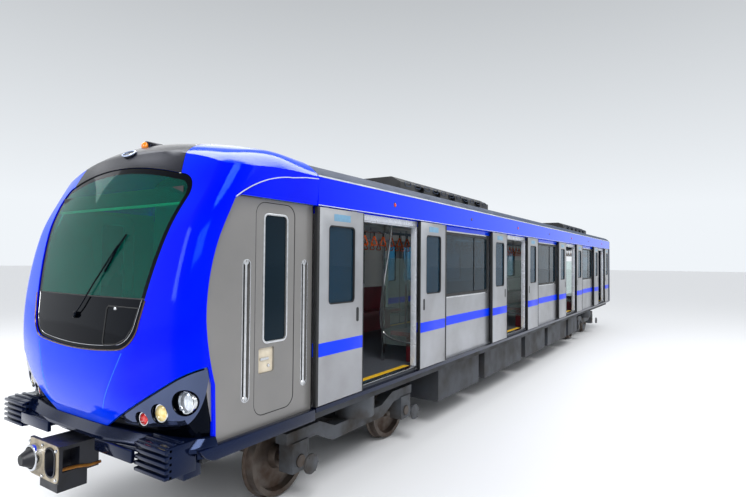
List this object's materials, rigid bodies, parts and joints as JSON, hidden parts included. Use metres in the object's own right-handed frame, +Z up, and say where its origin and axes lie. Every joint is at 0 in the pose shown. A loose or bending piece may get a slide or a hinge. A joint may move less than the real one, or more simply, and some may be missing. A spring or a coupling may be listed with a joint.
{
  "type": "metro car",
  "caption": "Lead metro car with a rounded driver's cab, sliding saloon doors, hinged cab doors, two bogies with free-rolling wheelsets, and swinging couplers.",
  "frame": {"origin": "under the middle of the car's overall length and width, level with the tips of the wheel flanges, 28 mm below the rails", "axes": "+X runs back from the cab to the coupled end, +Y is the side whose doors are shut, +Z is up"},
  "size_m": [21, 2.9, 3.878],
  "materials": {
    "electric_blue": "gloss",
    "stainless": "brushed",
    "cab_grey": "satin",
    "roof_grey": "satin",
    "cap_grey": "gloss",
    "unit_grey": "satin",
    "navy_black": "gloss",
    "gloss_black": "gloss",
    "screen_glass": "polished",
    "tinted_glass": "polished",
    "screen_clear": "polished",
    "window_rubber": "matte",
    "bellows_rubber": "matte",
    "mirror_silver": "gloss",
    "chrome": "polished",
    "coupler_black": "satin",
    "underframe_grey": "matte",
    "bogie_grey": "matte",
    "wheel_steel": "machined",
    "floor_vinyl": "matte",
    "interior_white": "satin",
    "maroon_plastic": "satin",
    "polished_steel": "polished",
    "orange_plastic": "gloss",
    "desk_grey": "matte",
    "seat_fabric": "matte"
  },
  "bodies": {
    "root": {"underframe": "underframe_grey", "pivot_pins": "underframe_grey", "coupler_brackets": "underframe_grey", "floor": "floor_vinyl", "side_panels": "stainless", "window_frames": "window_rubber", "glazing": "tinted_glass", "headers": "electric_blue", "sill_rails": "navy_black", "roof": "roof_grey", "ceiling": "interior_white", "partition": "interior_white", "end_wall": "roof_grey", "gangway": "bellows_rubber", "cab_mask": "electric_blue", "windscreen": "screen_glass", "nose_panel": "gloss_black", "lamp_panels": "mirror_silver", "lamp_rings": "chrome", "cab_sides": "cab_grey", "roof_cap": "cap_grey", "apron": "navy_black", "bumpers": "navy_black", "air_units": "unit_grey", "benches": "maroon_plastic", "screens": "screen_clear", "grab_rails": "polished_steel", "straps": "orange_plastic", "desk": "desk_grey", "driver_seat": "seat_fabric", "equipment": "underframe_grey", "wiper": "gloss_black"},
    "front_coupler_body": {"front_coupler": "coupler_black"},
    "rear_coupler_body": {"rear_coupler": "coupler_black"},
    "bogie_front_body": {"bogie_front": "bogie_grey"},
    "bogie_rear_body": {"bogie_rear": "bogie_grey"},
    "cab_door_left_body": {"cab_door_left": "cab_grey"},
    "cab_door_right_body": {"cab_door_right": "cab_grey"},
    "wheelset_1_body": {"wheelset_1": "wheel_steel"},
    "wheelset_2_body": {"wheelset_2": "wheel_steel"},
    "wheelset_3_body": {"wheelset_3": "wheel_steel"},
    "wheelset_4_body": {"wheelset_4": "wheel_steel"},
    "leaf_left_1_fore_body": {"leaf_left_1_fore": "stainless"},
    "leaf_left_1_aft_body": {"leaf_left_1_aft": "stainless"},
    "leaf_left_2_fore_body": {"leaf_left_2_fore": "stainless"},
    "leaf_left_2_aft_body": {"leaf_left_2_aft": "stainless"},
    "leaf_left_3_fore_body": {"leaf_left_3_fore": "stainless"},
    "leaf_left_3_aft_body": {"leaf_left_3_aft": "stainless"},
    "leaf_left_4_fore_body": {"leaf_left_4_fore": "stainless"},
    "leaf_left_4_aft_body": {"leaf_left_4_aft": "stainless"},
    "leaf_right_1_fore_body": {"leaf_right_1_fore": "stainless"},
    "leaf_right_1_aft_body": {"leaf_right_1_aft": "stainless"},
    "leaf_right_2_fore_body": {"leaf_right_2_fore": "stainless"},
    "leaf_right_2_aft_body": {"leaf_right_2_aft": "stainless"},
    "leaf_right_3_fore_body": {"leaf_right_3_fore": "stainless"},
    "leaf_right_3_aft_body": {"leaf_right_3_aft": "stainless"},
    "leaf_right_4_fore_body": {"leaf_right_4_fore": "stainless"},
    "leaf_right_4_aft_body": {"leaf_right_4_aft": "stainless"}
  },
  "joints": [
    {"name": "front_bogie_turn", "type": "hinge", "parent": "root", "child": "bogie_front_body", "pos_m": [-7.155, 0, 0.588], "axis": [0, 0, 1], "range_deg": [-4, 4]},
    {"name": "rear_bogie_turn", "type": "hinge", "parent": "root", "child": "bogie_rear_body", "pos_m": [7.145, 0, 0.588], "axis": [0, 0, 1], "range_deg": [-4, 4]},
    {"name": "wheelset_1_roll", "type": "hinge", "parent": "bogie_front_body", "child": "wheelset_1_body", "pos_m": [-8.305, 0, 0.458], "axis": [0, 1, 0], "continuous": true},
    {"name": "wheelset_2_roll", "type": "hinge", "parent": "bogie_front_body", "child": "wheelset_2_body", "pos_m": [-6.005, 0, 0.458], "axis": [0, 1, 0], "continuous": true},
    {"name": "wheelset_3_roll", "type": "hinge", "parent": "bogie_rear_body", "child": "wheelset_3_body", "pos_m": [5.995, 0, 0.458], "axis": [0, 1, 0], "continuous": true},
    {"name": "wheelset_4_roll", "type": "hinge", "parent": "bogie_rear_body", "child": "wheelset_4_body", "pos_m": [8.295, 0, 0.458], "axis": [0, 1, 0], "continuous": true},
    {"name": "front_coupler_swing", "type": "hinge", "parent": "root", "child": "front_coupler_body", "pos_m": [-9.48, 0, 0.888], "axis": [0, 0, 1], "range_deg": [-10, 10]},
    {"name": "rear_coupler_swing", "type": "hinge", "parent": "root", "child": "rear_coupler_body", "pos_m": [9.77, 0, 0.888], "axis": [0, 0, 1], "range_deg": [-8, 8]},
    {"name": "cab_door_left_swing", "type": "hinge", "parent": "root", "child": "cab_door_left_body", "pos_m": [-8.756, 1.3, 2.173], "axis": [0, 0, 1], "range_deg": [0, 90]},
    {"name": "cab_door_right_swing", "type": "hinge", "parent": "root", "child": "cab_door_right_body", "pos_m": [-8.756, -1.3, 2.173], "axis": [0, 0, -1], "range_deg": [0, 90]},
    {"name": "leaf_left_1_fore_slide", "type": "slide", "parent": "root", "child": "leaf_left_1_fore_body", "axis": [-1, 0, 0], "range_m": [0, 0.697]},
    {"name": "leaf_left_1_aft_slide", "type": "slide", "parent": "root", "child": "leaf_left_1_aft_body", "axis": [1, 0, 0], "range_m": [0, 0.697]},
    {"name": "leaf_left_2_fore_slide", "type": "slide", "parent": "root", "child": "leaf_left_2_fore_body", "axis": [-1, 0, 0], "range_m": [0, 0.697]},
    {"name": "leaf_left_2_aft_slide", "type": "slide", "parent": "root", "child": "leaf_left_2_aft_body", "axis": [1, 0, 0], "range_m": [0, 0.697]},
    {"name": "leaf_left_3_fore_slide", "type": "slide", "parent": "root", "child": "leaf_left_3_fore_body", "axis": [-1, 0, 0], "range_m": [0, 0.697]},
    {"name": "leaf_left_3_aft_slide", "type": "slide", "parent": "root", "child": "leaf_left_3_aft_body", "axis": [1, 0, 0], "range_m": [0, 0.697]},
    {"name": "leaf_left_4_fore_slide", "type": "slide", "parent": "root", "child": "leaf_left_4_fore_body", "axis": [-1, 0, 0], "range_m": [0, 0.697]},
    {"name": "leaf_left_4_aft_slide", "type": "slide", "parent": "root", "child": "leaf_left_4_aft_body", "axis": [1, 0, 0], "range_m": [0, 0.697]},
    {"name": "leaf_right_1_fore_slide", "type": "slide", "parent": "root", "child": "leaf_right_1_fore_body", "axis": [1, 0, 0], "range_m": [0, 0.697]},
    {"name": "leaf_right_1_aft_slide", "type": "slide", "parent": "root", "child": "leaf_right_1_aft_body", "axis": [-1, 0, 0], "range_m": [0, 0.697]},
    {"name": "leaf_right_2_fore_slide", "type": "slide", "parent": "root", "child": "leaf_right_2_fore_body", "axis": [1, 0, 0], "range_m": [0, 0.697]},
    {"name": "leaf_right_2_aft_slide", "type": "slide", "parent": "root", "child": "leaf_right_2_aft_body", "axis": [-1, 0, 0], "range_m": [0, 0.697]},
    {"name": "leaf_right_3_fore_slide", "type": "slide", "parent": "root", "child": "leaf_right_3_fore_body", "axis": [1, 0, 0], "range_m": [0, 0.697]},
    {"name": "leaf_right_3_aft_slide", "type": "slide", "parent": "root", "child": "leaf_right_3_aft_body", "axis": [-1, 0, 0], "range_m": [0, 0.697]},
    {"name": "leaf_right_4_fore_slide", "type": "slide", "parent": "root", "child": "leaf_right_4_fore_body", "axis": [1, 0, 0], "range_m": [0, 0.697]},
    {"name": "leaf_right_4_aft_slide", "type": "slide", "parent": "root", "child": "leaf_right_4_aft_body", "axis": [-1, 0, 0], "range_m": [0, 0.697]}
  ],
  "couplings": [
    {"joint": "leaf_left_1_aft_slide", "follows": "leaf_left_1_fore_slide", "ratio": 1},
    {"joint": "leaf_left_2_aft_slide", "follows": "leaf_left_2_fore_slide", "ratio": 1},
    {"joint": "leaf_left_3_aft_slide", "follows": "leaf_left_3_fore_slide", "ratio": 1},
    {"joint": "leaf_left_4_aft_slide", "follows": "leaf_left_4_fore_slide", "ratio": 1},
    {"joint": "leaf_right_1_aft_slide", "follows": "leaf_right_1_fore_slide", "ratio": 1},
    {"joint": "leaf_right_2_aft_slide", "follows": "leaf_right_2_fore_slide", "ratio": 1},
    {"joint": "leaf_right_3_aft_slide", "follows": "leaf_right_3_fore_slide", "ratio": 1},
    {"joint": "leaf_right_4_aft_slide", "follows": "leaf_right_4_fore_slide", "ratio": 1}
  ]
}
